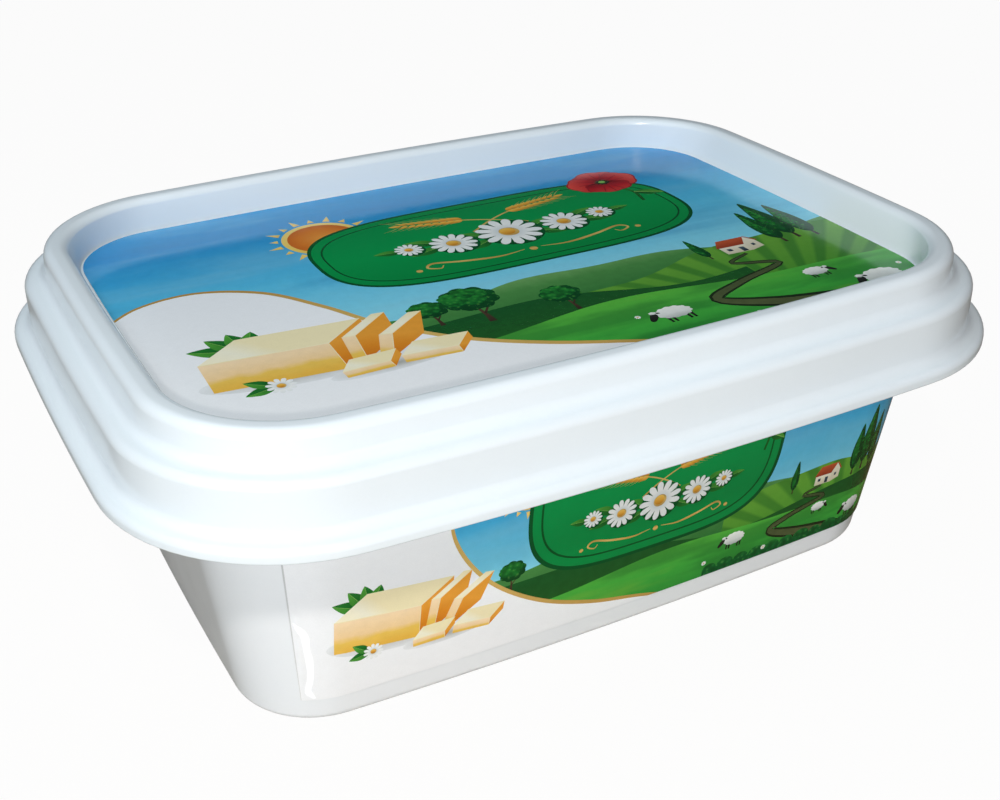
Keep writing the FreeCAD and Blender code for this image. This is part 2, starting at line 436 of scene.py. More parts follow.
def panelOutline(inset):
    # the recess floor's outline, or one this far inside it
    return bowedOutline(
        panelHalfLength - inset,
        panelHalfWidth - inset,
        lid["panelCorner"] - inset,
        lid["shortBow"] - (lidHigh.x / mm - panelHalfLength) - inset,
        lid["panelBow"] - inset,
    )


def geoTree(name, inputs):
    # an empty Geometry Nodes tree with named inputs
    tree = bpy.data.node_groups.new(name, "GeometryNodeTree")
    face = tree.interface
    face.new_socket("Geometry", in_out="INPUT", socket_type="NodeSocketGeometry")
    for label, kind in inputs:
        face.new_socket(label, in_out="INPUT", socket_type=kind)
    face.new_socket("Geometry", in_out="OUTPUT", socket_type="NodeSocketGeometry")
    return tree, addNode(tree, "NodeGroupInput").outputs, addNode(tree, "NodeGroupOutput").inputs


def setInputs(modifier, values):
    for item in modifier.node_group.interface.items_tree:
        if item.item_type == "SOCKET" and item.in_out == "INPUT" and item.name in values:
            modifier[item.identifier] = values[item.name]


def mouldingTree(sizes):
    kinds = {float: "NodeSocketFloat", int: "NodeSocketInt", bpy.types.Material: "NodeSocketMaterial"}
    inputs = [(name, kinds[type(value)]) for name, value in sizes.items()]
    tree, given, result = geoTree("lidMoulding", inputs)

    def plus(first, second):
        return calc(tree, "ADD", first, second)

    lipTop = plus(given["lipFoot"], given["lipHeight"])
    ledgeTop = plus(lipTop, given["skirtHeight"])
    rimTop = plus(ledgeTop, given["rimHeight"])
    panelTop = calc(tree, "SUBTRACT", rimTop, given["panelDepth"])
    seat = calc(tree, "SUBTRACT", panelTop, given["wall"])
    bore = plus(given["lipWidth"], given["wall"])
    rimFoot = plus(given["lipWidth"], given["ledgeWidth"])
    rimOuter = plus(rimFoot, given["rimLean"])
    rimInner = plus(rimOuter, given["rimWidth"])
    corners = [
        # how far in, how high, rounding
        (bore, seat, 0.0),
        (bore, given["lipFoot"], 0.0),
        (0.0, given["lipFoot"], given["lipFootRound"]),
        (0.0, lipTop, given["lipRound"]),
        (given["lipWidth"], lipTop, given["lipCove"]),
        (given["lipWidth"], ledgeTop, given["ledgeRound"]),
        (rimFoot, ledgeTop, given["ledgeCove"]),
        (rimOuter, rimTop, given["rimRound"]),
        (rimInner, rimTop, given["rimRound"]),
        (given["panelInset"], panelTop, 0.0),
    ]
    number = addNode(tree, "GeometryNodeInputIndex").outputs[0]
    places = addNode(tree, "GeometryNodeIndexSwitch", data_type="VECTOR")
    rounds = addNode(tree, "GeometryNodeIndexSwitch", data_type="FLOAT")
    for switch in (places, rounds):
        while len(switch.index_switch_items) < len(corners):
            switch.index_switch_items.new()
        plug(tree, number, switch.inputs["Index"])
    for item, (inset, height, rounding) in enumerate(corners, 1):
        across = calc(tree, "MULTIPLY", inset, -1.0)
        down = calc(tree, "MULTIPLY", height, -1.0)
        plug(tree, made(tree, "ShaderNodeCombineXYZ", {"X": across, "Y": down}), places.inputs[item])
        plug(tree, rounding, rounds.inputs[item])
    dots = made(tree, "GeometryNodePoints", {"Count": len(corners), "Position": places.outputs[0]})
    polyline = made(tree, "GeometryNodePointsToCurves", {"Points": dots})
    bends = {"Curve": polyline, "Count": given["roundSteps"], "Radius": rounds.outputs[0]}
    rounded = made(tree, "GeometryNodeFilletCurve", bends, mode="POLY")

    # the profile is swept, and each point keeps its share of the way along it
    share = addNode(tree, "GeometryNodeSplineParameter").outputs["Factor"]
    marks = {"Geometry": rounded, "Name": "profileShare", "Value": share}
    marked = made(tree, "GeometryNodeStoreNamedAttribute", marks, data_type="FLOAT", domain="POINT")
    path = made(tree, "GeometryNodeMeshToCurve", {"Mesh": given["Geometry"]})
    level = made(tree, "GeometryNodeSetCurveNormal", {"Curve": path}, mode="Z_UP")
    sweep = made(tree, "GeometryNodeCurveToMesh", {"Curve": level, "Profile Curve": marked})

    # the last point, the foot of the recess wall, moves to the panel's own edge
    stored = "GeometryNodeInputNamedAttribute"
    shareOf = made(tree, stored, {"Name": "profileShare"}, data_type="FLOAT")
    edgeOf = made(tree, stored, {"Name": "panelEdge"}, data_type="FLOAT_VECTOR")
    last = calc(tree, "GREATER_THAN", shareOf, lastShare)
    moves = {"Geometry": sweep, "Selection": last, "Position": edgeOf}
    seated = made(tree, "GeometryNodeSetPosition", moves)
    real = made(tree, "GeometryNodeRealizeInstances", {"Geometry": seated})
    painted = made(tree, "GeometryNodeSetMaterial", {"Geometry": real, "Material": given["plastic"]})
    plug(tree, painted, result["Geometry"])
    return tree


def closeRings(piece):
    # fills the open rings of a swept wall and points every face outwards
    work = bmesh.new()
    work.from_mesh(piece.data)
    bmesh.ops.remove_doubles(work, verts=work.verts, dist=weldGap)
    border = [edge for edge in work.edges if edge.is_boundary]
    bmesh.ops.holes_fill(work, edges=border, sides=0)
    bmesh.ops.recalc_face_normals(work, faces=work.faces)
    work.to_mesh(piece.data)
    work.free()


def makeLid():
    loop = [point * mm for point in ringPoints(lidOutline(0), 0)]
    count = len(loop)
    mesh = bpy.data.meshes.new("lidShell")
    mesh.from_pydata(loop, [(item, (item + 1) % count) for item in range(count)], [])
    foot = mesh.attributes.new("panelEdge", "FLOAT_VECTOR", "POINT")
    for item, point in enumerate(ringPoints(panelOutline(0), panelLow.z / mm)):
        foot.data[item].vector = point * mm
    sizes = {name: lid[name] * mm for name in profileSizes}
    sizes["lipFoot"] = lidLow.z
    sizes["rimLean"] = lid["rimHeight"] * math.tan(math.radians(lid["rimDraft"])) * mm
    sizes["panelDepth"] = lidHigh.z - panelLow.z
    sizes["panelInset"] = (lidHigh.x + lidHigh.y) / 2 - (panelHalfLength + panelHalfWidth) / 2 * mm
    sizes["roundSteps"] = lid["roundSteps"]
    sizes["plastic"] = lidPlastic
    piece = linkObject("lidShell", mesh)
    moulding = piece.modifiers.new("moulding", "NODES")
    moulding.node_group = mouldingTree(sizes)
    setInputs(moulding, sizes)
    settle(piece)
    closeRings(piece)
    crispen(piece)
    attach(piece, "root")
    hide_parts("lid")
    print("lid:", len(piece.data.polygons), "faces")


makeLid()


# the tub: a tapered wall lofted between two bowed outlines

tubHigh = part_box("tub")[1]
filmLow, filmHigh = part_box("tub_label")

tub = {
    "setback": 8.5,  # top of the wall inside the lid's lip
    "shoulder": 38.4,  # height where the wall meets the rim
    "rimSetback": 4.1,
    "endDraft": 7.3,
    "sideDraft": 8.2,
    "footCorner": 11.2,
    "footRound": 1.4,
    "roundSteps": 8,
    "wallSteps": 12,
}


def tubOutline(share, out=0.0):
    # the wall's outline; share is 1 at the foot and 0 at the shoulder
    inset = tub["setback"] - out
    endLean = tub["shoulder"] * math.tan(math.radians(tub["endDraft"]))
    sideLean = tub["shoulder"] * math.tan(math.radians(tub["sideDraft"]))
    topCorner = lid["corner"] - tub["setback"]
    return bowedOutline(
        lidHigh.x / mm - inset - share * endLean,
        lidHigh.y / mm - inset - share * sideLean,
        topCorner * (1 - share) + tub["footCorner"] * share + out,
        lid["shortBow"] - inset,
        lid["longBow"] - inset,
    )


def makeTub():
    shoulder = tub["shoulder"]
    foot = ringPoints(tubOutline(1), 0)
    top = ringPoints(tubOutline(0), shoulder)
    radius = tub["footRound"]
    rings = []
    for step in range(tub["roundSteps"] + 1):
        # the rolled edge between the flat base and the leaning wall
        ring = []
        for low, high in zip(foot, top):
            wall = (high - low).normalized()
            inwards = -low.normalized()
            spread = inwards.angle(wall)
            hub = low + (inwards + wall).normalized() * (radius / math.sin(spread / 2))
            first = low + inwards * (radius / math.tan(spread / 2)) - hub
            last = low + wall * (radius / math.tan(spread / 2)) - hub
            share = step / tub["roundSteps"]
            ring.append(hub + first.slerp(last, share).normalized() * radius)
        rings.append(ring)
    start = rings[-1]
    for step in range(1, tub["wallSteps"] + 1):
        share = step / tub["wallSteps"]
        rings.append([low.lerp(high, share) for low, high in zip(start, top)])
    rimEdge = lidOutline(tub["rimSetback"])
    rings.append(ringPoints(rimEdge, shoulder))
    rings.append(ringPoints(rimEdge, tubHigh.z / mm))
    count = len(foot)
    points = [point * mm for ring in rings for point in ring]
    faces = [list(range(count))[::-1]]
    for row in range(len(rings) - 1):
        for item in range(count):
            following = (item + 1) % count
            faces.append([
                row * count + item,
                row * count + following,
                (row + 1) * count + following,
                (row + 1) * count + item,
            ])
    faces.append([(len(rings) - 1) * count + item for item in range(count)])
    mesh = bpy.data.meshes.new("tubBody")
    mesh.from_pydata(points, [], faces)
    mesh.materials.append(tubPlastic)
    piece = linkObject("tubBody", mesh)
    crispen(piece)
    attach(piece, "root")
    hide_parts("tub")
    print("tub:", len(piece.data.polygons), "faces")


makeTub()


# inks of the printed films
# mottle, pattern, and the colours along each printed shape: (share of its length, red, green, blue)

inks = {
    "sky": (0.07, "sky", (0, 138, 218, 238), (0.35, 90, 194, 232), (0.75, 18, 146, 212),
        (1, 26, 154, 214)),
    "farHill": (0.16, "plain", (0, 44, 112, 52), (0.7, 74, 138, 70), (1, 110, 164, 96)),
    "furrow": (0.07, "furrow", (0, 66, 140, 44), (1, 104, 166, 58)),
    "hillDark": (0.22, "plain", (0, 34, 92, 34), (1, 22, 84, 38)),
    "meadow": (0.07, "meadow", (0, 36, 134, 54), (0.55, 63, 168, 62), (1, 88, 182, 64)),
    "bush": (0.07, "leafy", (0, 8, 84, 40), (0.7, 10, 98, 46), (1, 34, 122, 50)),
    "track": (0.2, "plain", (0, 96, 104, 66), (1, 62, 78, 46)),
    "trackEdge": (0.2, "plain", (0, 26, 42, 20), (1, 30, 50, 24)),
    "treeLight": (0.07, "leafy", (0, 14, 100, 40), (1, 40, 138, 52)),
    "treeDark": (0.07, "leafy", (0, 8, 66, 30), (1, 16, 96, 40)),
    "trunk": (0.3, "plain", (0, 52, 42, 32), (1, 84, 66, 48)),
    "plaque": (0.04, "plain", (0, 0, 134, 64), (0.5, 0, 151, 75), (1, 0, 142, 73)),
    "plaqueEdge": (0.06, "plain", (0, 0, 78, 36), (1, 0, 94, 46)),
    "gold": (0.08, "plain", (0, 196, 124, 36), (0.5, 232, 172, 66), (1, 244, 200, 96)),
    "goldLine": (0.06, "plain", (0, 190, 148, 74), (0.5, 216, 182, 104), (1, 184, 144, 72)),
    "field": (0.02, "plain", (0, 248, 250, 252), (1, 246, 249, 252)),
    "fieldShade": (0.07, "round", (0, 168, 168, 158), (0.55, 212, 213, 211), (1, 234, 237, 239)),
    "butterTop": (0.03, "plain", (0, 252, 243, 208), (0.6, 248, 244, 220), (1, 246, 234, 190)),
    "butterFront": (0.07, "soft", (0, 236, 186, 76), (0.3, 238, 198, 92), (0.46, 246, 212, 158),
        (1, 252, 226, 186)),
    "butterEnd": (0.07, "plain", (0, 204, 112, 30), (0.5, 222, 138, 38), (1, 234, 160, 58)),
    "butterEdge": (0.03, "plain", (0, 250, 240, 204), (1, 246, 232, 184)),
    "leafLight": (0.16, "plain", (0, 30, 112, 40), (1, 84, 164, 60)),
    "leafDark": (0.16, "plain", (0, 16, 84, 32), (1, 36, 124, 46)),
    "leafRib": (0.05, "plain", (0, 120, 180, 84), (1, 150, 200, 104)),
    "petal": (0.03, "round", (0, 196, 206, 208), (0.34, 222, 228, 228), (0.62, 244, 246, 244),
        (1, 236, 240, 240)),
    "poppy": (0.08, "plain", (0, 112, 10, 22), (0.4, 186, 30, 38), (1, 226, 74, 62)),
    "poppyDark": (0.1, "plain", (0, 134, 18, 26), (1, 164, 30, 36)),
    "seed": (0.2, "plain", (0, 30, 34, 24), (1, 58, 66, 40)),
    "sunDisc": (0.05, "round", (0, 238, 158, 66), (0.7, 222, 126, 44), (1, 206, 108, 36)),
    "sunRim": (0.04, "plain", (0, 240, 200, 84), (1, 250, 222, 130)),
    "limeWall": (0.06, "plain", (0, 206, 198, 170), (1, 238, 232, 212)),
    "tileRoof": (0.14, "plain", (0, 146, 58, 34), (1, 196, 88, 52)),
    "windowDark": (0.1, "plain", (0, 40, 52, 62), (1, 66, 84, 96)),
    "wool": (0.08, "plain", (0, 176, 184, 180), (0.45, 226, 230, 226), (1, 246, 248, 244)),
    "woolDark": (0.15, "plain", (0, 20, 24, 20), (1, 44, 48, 42)),
    # painted shade on the film's cut edge, greyer than the bare film
    "filmEdge": (0.04, "plain", (0, 212, 214, 214), (1, 218, 220, 220)),
    "edgeShade": (0.04, "plain", (0, 226, 228, 228), (0.4, 214, 216, 217), (1, 192, 195, 198)),
    # painted glint: a white brighter than the bare film, beside the front seam
    "crest": (0.01, "plain", (0, 253, 254, 255), (1, 253, 254, 255)),
    "bareFilm": (0.02, "plain", (0, 240, 242, 243), (1, 240, 242, 243)),
}

patterns = {
    # from (value, grey) to (value, grey), how the ramp runs, strength, colour
    "sky": [
        ((0.30, 1), (0.52, 0), "EASE", 0.42, (24, 122, 182)),
        ((0.52, 0), (0.74, 1), "EASE", 0.34, (140, 204, 228)),
    ],
    "furrow": [((0.35, 0), (0.8, 1), "LINEAR", 0.62, (40, 112, 40))],
    "meadow": [
        ((0.40, 1), (0.56, 0), "EASE", 0.5, (28, 104, 44)),
        ((0.56, 0), (0.70, 1), "EASE", 0.4, (122, 178, 62)),
    ],
    "leafy": [
        ((0.30, 0), (0.62, 1), "LINEAR", 0.6, (6, 60, 26)),
        ((0.10, 1), (0.26, 0), "LINEAR", 0.35, (90, 168, 70)),
    ],
}

filmFinish = {
    "ior": 1.45,
    "roughness": (0.10, 0.17),
    "waviness": 0.000014,
    "waveStrength": 0.6,
    "waves": (95, 2),  # scale and detail of each noise
    "drift": (340, 3),
    "blots": (820, 4),
    "specks": (6500, 1),
    "speckDepth": 0.08,
    "bleed": 0.10,  # how far one colour wanders into the next
    "softBleed": 0.30,
    "cutGap": 0.0005,  # mm, corners nearer than this become one
    "probe": 0.02,  # mm, the step that the surface's slope is read with
    "crestLift": 0.62,  # how far the painted glint strip's shading turns upwards
}


def patternField(tree, kind, place, along, aside):
    # the values that a pattern's shades are read from
    if kind == "sky":
        stretch = {"Vector": place, "Scale": (16, 90, 130), "Rotation": (0, 0, 0.12)}
        return noiseAt(tree, made(tree, "ShaderNodeMapping", stretch), 1.0, 4, 0.4)
    if kind == "meadow":
        stretch = {"Vector": place, "Scale": (40, 190, 240)}
        return noiseAt(tree, made(tree, "ShaderNodeMapping", stretch), 1.0, 3)
    if kind == "furrow":
        lean = calc(tree, "ARCTAN2", aside, calc(tree, "ADD", along, 0.55))
        rows = calc(tree, "SINE", calc(tree, "MULTIPLY", lean, 46.0))
        return calc(tree, "MULTIPLY_ADD", rows, 0.5, 0.5)
    return made(tree, "ShaderNodeTexVoronoi", {"Vector": place, "Scale": 1500}, feature="SMOOTH_F1")


def inkPattern(tree, kind, colour, place, along, aside):
    # the drawn detail inside a field of ink
    field = patternField(tree, kind, place, along, aside)
    for first, last, smooth, strength, other in patterns[kind]:
        stops = [(value, (grey, grey, grey, 1)) for value, grey in (first, last)]
        colour = tint(tree, colour, ramp(tree, field, stops, smooth), strength, other)
    return colour


def inkMaterial(name):
    mottle, pattern, *stops = inks[name]
    film = filmFinish
    material, tree, place = newMaterial("ink_" + name)
    local = addNode(tree, "ShaderNodeUVMap", uv_map="shapeShade")
    split = addNode(tree, "ShaderNodeSeparateXYZ")
    plug(tree, local.outputs[0], split.inputs[0])
    along = split.outputs["X"]
    aside = split.outputs["Y"]
    factor = along
    if pattern == "round":
        wide = calc(tree, "MULTIPLY_ADD", along, 2.0, -1.0)
        tall = calc(tree, "MULTIPLY", aside, aside)
        factor = calc(tree, "SQRT", calc(tree, "MULTIPLY_ADD", wide, wide, tall))
    push = film["softBleed"] if pattern == "soft" else film["bleed"]
    drift = calc(tree, "MULTIPLY_ADD", noiseAt(tree, place, *film["drift"]), push, -push / 2)
    tones = [(at, linear(*tone)) for at, *tone in stops]
    colour = ramp(tree, calc(tree, "ADD", factor, drift), tones)
    if pattern in patterns:
        colour = inkPattern(tree, pattern, colour, place, along, aside)

    # uneven ink and a fine print grain
    blot = noiseAt(tree, place, *film["blots"])
    depth = film["speckDepth"]
    fine = calc(tree, "MULTIPLY_ADD", noiseAt(tree, place, *film["specks"]), depth, 1 - depth / 2)
    lift = calc(tree, "MULTIPLY", calc(tree, "MULTIPLY_ADD", blot, mottle * 2, 1 - mottle), fine)
    toned = made(tree, "ShaderNodeVectorMath", {0: colour, "Scale": lift}, operation="SCALE")

    low, high = film["roughness"]
    waves = noiseAt(tree, place, *film["waves"])
    surface = {
        "Base Color": toned,
        "Roughness": calc(tree, "MULTIPLY_ADD", blot, high - low, low),
        "Normal": bumpFrom(tree, waves, film["waveStrength"], film["waviness"]),
        "IOR": film["ior"],
    }
    showSurface(tree, made(tree, "ShaderNodeBsdfPrincipled", surface))
    return material


inkMaterials = {name: inkMaterial(name) for name in inks}
print("inks mixed:", len(inkMaterials))


# drawing: every motif is a stack of flat shapes, in millimetres on the sheet

finestHalf = 0.02  # mm, half of the finest line


def smoothLine(points, steps=5, closed=False):
    # a curve through the points
    count = len(points)
    spans = count if closed else count - 1
    line = []
    for span in range(spans):
        if closed:
            a, b, c, d = (points[(span + shift) % count] for shift in (-1, 0, 1, 2))
        else:
            b = points[span]
            c = points[span + 1]
            a = points[span - 1] if span else (2 * b[0] - c[0], 2 * b[1] - c[1])
            d = points[span + 2] if span + 2 < count else (2 * c[0] - b[0], 2 * c[1] - b[1])
        for step in range(steps):
            t = step / steps
            line.append(tuple(
                b[k] + 0.5 * ((c[k] - a[k]) * t + (2 * a[k] - 5 * b[k] + 4 * c[k] - d[k]) * t**2
                              + (3 * b[k] - a[k] - 3 * c[k] + d[k]) * t**3)
                for k in (0, 1)
            ))
    if not closed:
        line.append(tuple(points[-1]))
    return line


def oval(x, y, wide, high, turn=0.0, steps=24):
    angles = [2 * math.pi * step / steps for step in range(steps)]
    return placer(x, y, 1.0, turn)([(wide * math.cos(a), high * math.sin(a)) for a in angles])


def lumpy(x, y, wide, high, lumps, depth, phase=0.0, steps=48):
    # an oval with a scalloped edge, for crowns, bushes and fleece
    points = []
    for step in range(steps):
        angle = 2 * math.pi * step / steps
        swell = 1 - depth + depth * abs(math.sin(lumps * angle / 2 + phase))
        points.append((x + wide * swell * math.cos(angle), y + high * swell * math.sin(angle)))
    return points


def ribbon(points, widths, steps=6):
    # a band along a smooth line, its width going evenly through the given ones
    line = smoothLine(points, steps)
    left = []
    right = []
    for item, (x, y) in enumerate(line):
        before = line[max(item - 1, 0)]
        after = line[min(item + 1, len(line) - 1)]
        length = math.hypot(after[0] - before[0], after[1] - before[1]) or 1.0
        across = (-(after[1] - before[1]) / length, (after[0] - before[0]) / length)
        place = item / (len(line) - 1) * (len(widths) - 1)
        low = min(int(place), len(widths) - 2)
        half = (widths[low] + (widths[low + 1] - widths[low]) * (place - low)) / 2
        half = max(half, finestHalf)
        left.append((x + across[0] * half, y + across[1] * half))
        right.append((x - across[0] * half, y - across[1] * half))
    return left + right[::-1]


def placer(x, y, size=1.0, turn=0.0, flip=1):
    # moves a motif from its own coordinates to its place on the sheet
    def spot(points):
        moved = []
        for across, upward in points:
            across = across * size * flip
            upward = upward * size
            moved.append((
                x + across * math.cos(turn) - upward * math.sin(turn),
                y + across * math.sin(turn) + upward * math.cos(turn),
            ))
        return moved
    return spot


def stamp(sheet, ink, points, start=None, end=None):
    area = sum(a[0] * b[1] - b[0] * a[1] for a, b in zip(points, points[1:] + points[:1]))
    if area < 0:
        points = points[::-1]
    across = [point[0] for point in points]
    upward = [point[1] for point in points]
    if start is None:
        start = ((min(across) + max(across)) / 2, min(upward))
        end = (start[0], max(upward))
    half = (max(across) - min(across)) / 2
    sheet.append({"ink": ink, "points": points, "start": start, "end": end, "half": half})


def ridge(left, right, level, swings, base):
    # land from a wavy skyline down to the base
    line = []
    steps = max(8, int((right - left) / 1.6))
    for step in range(steps + 1):
        x = left + (right - left) * step / steps
        swell = sum(rise * math.sin(x / length + phase) for rise, length, phase in swings)
        line.append((x, level + swell))
    return [(left, base), (right, base)] + line[::-1]


def drawLeaf(sheet, spot, x, y, length, wide, turn):
    own = placer(x, y, 1.0, turn)
    foot, tip = spot(own([(0, 0), (length, 0)]))
    outline = [(0, 0), (0.25, 0.8), (0.55, 1), (0.85, 0.45), (1, 0)]
    for ink, side in (("leafLight", 1), ("leafDark", -1)):
        half = [(across * length, upward * wide * side) for across, upward in outline]
        stamp(sheet, ink, spot(own(smoothLine(half, 4))), foot, tip)
    rib = [(length * 0.04, 0), (length * 0.5, wide * 0.03), (length * 0.94, 0)]
    stamp(sheet, "leafRib", spot(own(ribbon(rib, [0.08 * wide, 0.03 * wide], 3))))


def drawDaisy(sheet, x, y, size, petals=13, turn=0.0):
    points = []
    for step in range(petals * 8):
        angle = 2 * math.pi * step / (petals * 8)
        bulge = abs(math.sin(angle * petals / 2)) ** 0.45
        reach = size * (0.5 + 0.5 * bulge)
        points.append((x + reach * math.cos(angle + turn), y + reach * math.sin(angle + turn)))
    stamp(sheet, "petal", points)
    stamp(sheet, "goldLine", oval(x, y, size * 0.31, size * 0.31, 0, 20))
    stamp(sheet, "gold", oval(x - size * 0.03, y + size * 0.04, size * 0.24, size * 0.24, 0, 18))


def drawWheat(sheet, spot, grains=8):
    # an ear lying along +X, its stalk curling away below
    stalk = [(-9, -3.4), (-5, -1.6), (0, -0.2), (6, 0.3), (10, 0.2)]
    grain = [(-0.5, 0), (0.1, 0.42), (1.0, 0.12), (1.5, 0), (1.0, -0.1), (0.1, -0.36)]
    tipGrain = [(-0.6, 0), (0, 0.4), (1.2, 0), (0, -0.4)]
    gap = 1.15
    stamp(sheet, "goldLine", spot(ribbon(stalk, [0.35, 0.3, 0.22], 5)))
    for item in range(grains):
        x = 0.6 + item * gap
        for side in (1, -1):
            own = placer(x, side * 0.42, 1.25 - 0.05 * item, side * 0.5)
            stamp(sheet, "gold", spot(own(smoothLine(grain, 3, True))))
        for side in (1, -1):
            beard = [(x + 1.0, side * 0.5), (x + 2.2, side * 1.35), (x + 3.4, side * 1.9)]
            stamp(sheet, "goldLine", spot(ribbon(beard, [0.10, 0.04], 3)))
    own = placer(0.6 + grains * gap, 0)
    stamp(sheet, "gold", spot(own(smoothLine(tipGrain, 3, True))))


def drawPoppy(sheet, x, y, size):
    # four creased petals round a dark seed head, on a short stalk
    spot = placer(x, y, size)
    stamp(sheet, "leafDark", spot(ribbon([(0.1, -0.6), (0.45, -1.3), (0.3, -2.2)], [0.16, 0.12], 4)))
    drawLeaf(sheet, spot, 0.42, -1.3, 1.1, 0.24, -0.5)
    petals = (
        # centre, half width, half height, scallops, phase
        (0.0, 0.52, 0.84, 0.56, 5, 0.3),
        (-0.66, 0.02, 0.66, 0.70, 5, 0.2),
        (0.66, 0.05, 0.66, 0.68, 5, 0.9),
        (0.0, -0.42, 0.86, 0.54, 6, 0.5),
    )
    border = 0.06
    for px, py, wide, high, lumps, phase in petals:
        reach = math.hypot(px, py)
        heart, tip = spot([(0, 0), (px / reach * 1.25, py / reach * 1.25)])
        edge = lumpy(px, py, wide + border, high + border, lumps, 0.12, phase, 40)
        stamp(sheet, "poppyDark", spot(edge))
        stamp(sheet, "poppy", spot(lumpy(px, py, wide, high, lumps, 0.12, phase, 40)), heart, tip)
        for lean in (-0.42, 0.0, 0.42):
            angle = math.atan2(py, px) + lean
            crease = [(math.cos(angle) * far, math.sin(angle) * far) for far in (0.28, 0.62, 0.92)]
            stamp(sheet, "poppyDark", spot(ribbon(crease, [0.08, 0.03], 2)))
    stamp(sheet, "seed", spot(lumpy(0, 0.02, 0.30, 0.26, 11, 0.3, 0, 44)))
    stamp(sheet, "leafRib", spot(oval(0, 0.04, 0.13, 0.11, 0, 14)))


def drawSun(sheet, x, y, size):
    rays = 18
    for item in range(rays):
        own = placer(x, y, size, 2 * math.pi * item / rays + 0.1)
        reach = 1.42 if item % 2 else 1.28
        stamp(sheet, "sunRim", own([(1.08, -0.09), (reach, 0), (1.08, 0.09)]))
    stamp(sheet, "sunRim", oval(x, y, size, size, 0, 56))
    stamp(sheet, "sunDisc", oval(x, y, size * 0.86, size * 0.86, 0, 52))


def drawPlaque(sheet, x, y, halfLength, halfHeight):
    # a cushion-shaped shield with a hairline inside
    margin = halfHeight * 0.10
    steps = 96
    layers = (("plaqueEdge", -0.55), ("plaque", 0), ("plaqueEdge", margin), ("plaque", margin + 0.28))
    for ink, inset in layers:
        points = []
        for step in range(steps):
            across = math.cos(2 * math.pi * step / steps)
            upward = math.sin(2 * math.pi * step / steps)
            points.append((
                x + (halfLength - inset) * math.copysign(abs(across) ** 0.5, across),
                y + (halfHeight - inset) * math.copysign(abs(upward) ** 0.72, upward),
            ))
        stamp(sheet, ink, points)


def drawGarland(sheet, x, y, size):
    # daisies in a row with leaves between, wheat above and gold curls below
    spot = placer(x, y, size)
    leaves = (
        # place, length, width, turn
        (3.0, -0.6, 4.6, 1.15, 0.55),
        (3.2, -1.4, 4.4, 1.0, -0.5),
        (9.6, 0.4, 4.8, 1.0, 0.42),
        (9.8, -0.6, 5.2, 1.0, -0.28),
        (14.8, 0.2, 4.2, 0.8, 0.1),
    )
    curl = [(1.2, -6.6), (5.0, -7.1), (9.6, -6.3), (13.4, -5.2), (14.6, -6.2), (13.2, -7.0),
            (12.5, -6.3)]
    daisies = ((8.2, -0.4, 3.2), (-8.2, -0.4, 3.2), (14.2, 0.3, 1.9), (-14.2, 0.3, 1.9), (0, -0.2, 4.5))
    for side in (1, -1):
        flipped = placer(x, y, size, 0, side)
        for leaf in leaves:
            drawLeaf(sheet, flipped, *leaf)
        drawWheat(sheet, placer(x + side * 3.4 * size, y + 6.6 * size, size * 0.92, side * 0.20, side))
        stamp(sheet, "goldLine", flipped(ribbon(curl, [0.10, 0.5, 0.42, 0.3, 0.12], 6)))
        stamp(sheet, "goldLine", flipped(oval(15.9, -6.6, 0.42, 0.42, 0, 14)))
    for dx, dy, reach in daisies:
        stamp(sheet, "plaqueEdge", spot(oval(dx + 0.25, dy - 0.3, reach * 0.98, reach * 0.98, 0, 28)))
        drawDaisy(sheet, *spot([(dx, dy)])[0], reach * size, 13, dx)
    stamp(sheet, "goldLine", spot(oval(0, -6.8, 0.55, 0.55, 0, 14)))


def drawBlock(sheet, spot, corner, length, depth, height):
    # a block of butter: long face, cut end and top
    def at(*steps):
        return (corner[0] + sum(step[0] for step in steps), corner[1] + sum(step[1] for step in steps))

    front = [at(), at(length), at(length, height), at(height)]
    end = [at(length), at(length, depth), at(length, depth, height), at(length, height)]
    top = [at(height), at(length, height), at(length, depth, height), at(depth, height)]
    faces = (
        ("butterFront", front, at(), at(height)),
        ("butterEnd", end, at(length), at(length, height)),
        ("butterTop", top, at(height), at(depth, height)),
    )
    edges = (
        (at(height), at(length, height), [0.16, 0.22, 0.16]),
        (at(length, height), at(length, depth, height), [0.2, 0.1]),
        (at(length), at(length, height), [0.06, 0.14]),
    )
    for ink, face, first, last in faces:
        stamp(sheet, ink, spot(face), *spot([first, last]))
    for first, last, widths in edges:
        stamp(sheet, "butterEdge", spot(ribbon([first, last], widths, 2)))


def drawButter(sheet, x, y, size):
    # a stick of butter with three cut pats, leaves behind and a small daisy
    spot = placer(x, y, size)
    stamp(sheet, "fieldShade", spot(oval(-1.5, -1.2, 13.5, 3.0, -0.06, 40)))
    stamp(sheet, "fieldShade", spot(oval(8.0, -4.5, 8.4, 1.7, 0.05, 32)))
    for item, turn in enumerate((2.75, 2.2, 1.75, 1.25)):
        drawLeaf(sheet, spot, -7.5 + item * 0.5, 7.6, 6.4 - item * 0.5, 1.35, turn)
    blocks = (
        # place, turn, length, depth, height
        (-13.5, -1.6, 0, (16.2, -1.5), (6.2, 4.9), (0.3, 7.6)),
        (3.9, -1.9, 0, (1.7, -0.2), (6.0, 4.7), (1.1, 7.0)),
        (7.0, -2.6, 0, (1.7, -0.3), (6.0, 4.4), (2.4, 6.2)),
        (9.3, -5.0, -0.06, (7.4, -0.2), (2.6, 3.2), (0.1, 1.9)),
        (1.6, -5.4, 0.10, (6.2, -0.5), (2.2, 2.5), (0.1, 1.7)),
    )
    for px, py, turn, length, depth, height in blocks:
        own = placer(px, py, 1.0, turn)
        drawBlock(sheet, lambda points: spot(own(points)), (0, 0), length, depth, height)
    for turn in (0.35, -0.5):
        drawLeaf(sheet, spot, -6.5, -3.3, 4.2, 0.95, turn + 3.0)
    drawDaisy(sheet, *spot([(-6.0, -3.4)])[0], 1.9 * size, 11, 0.2)


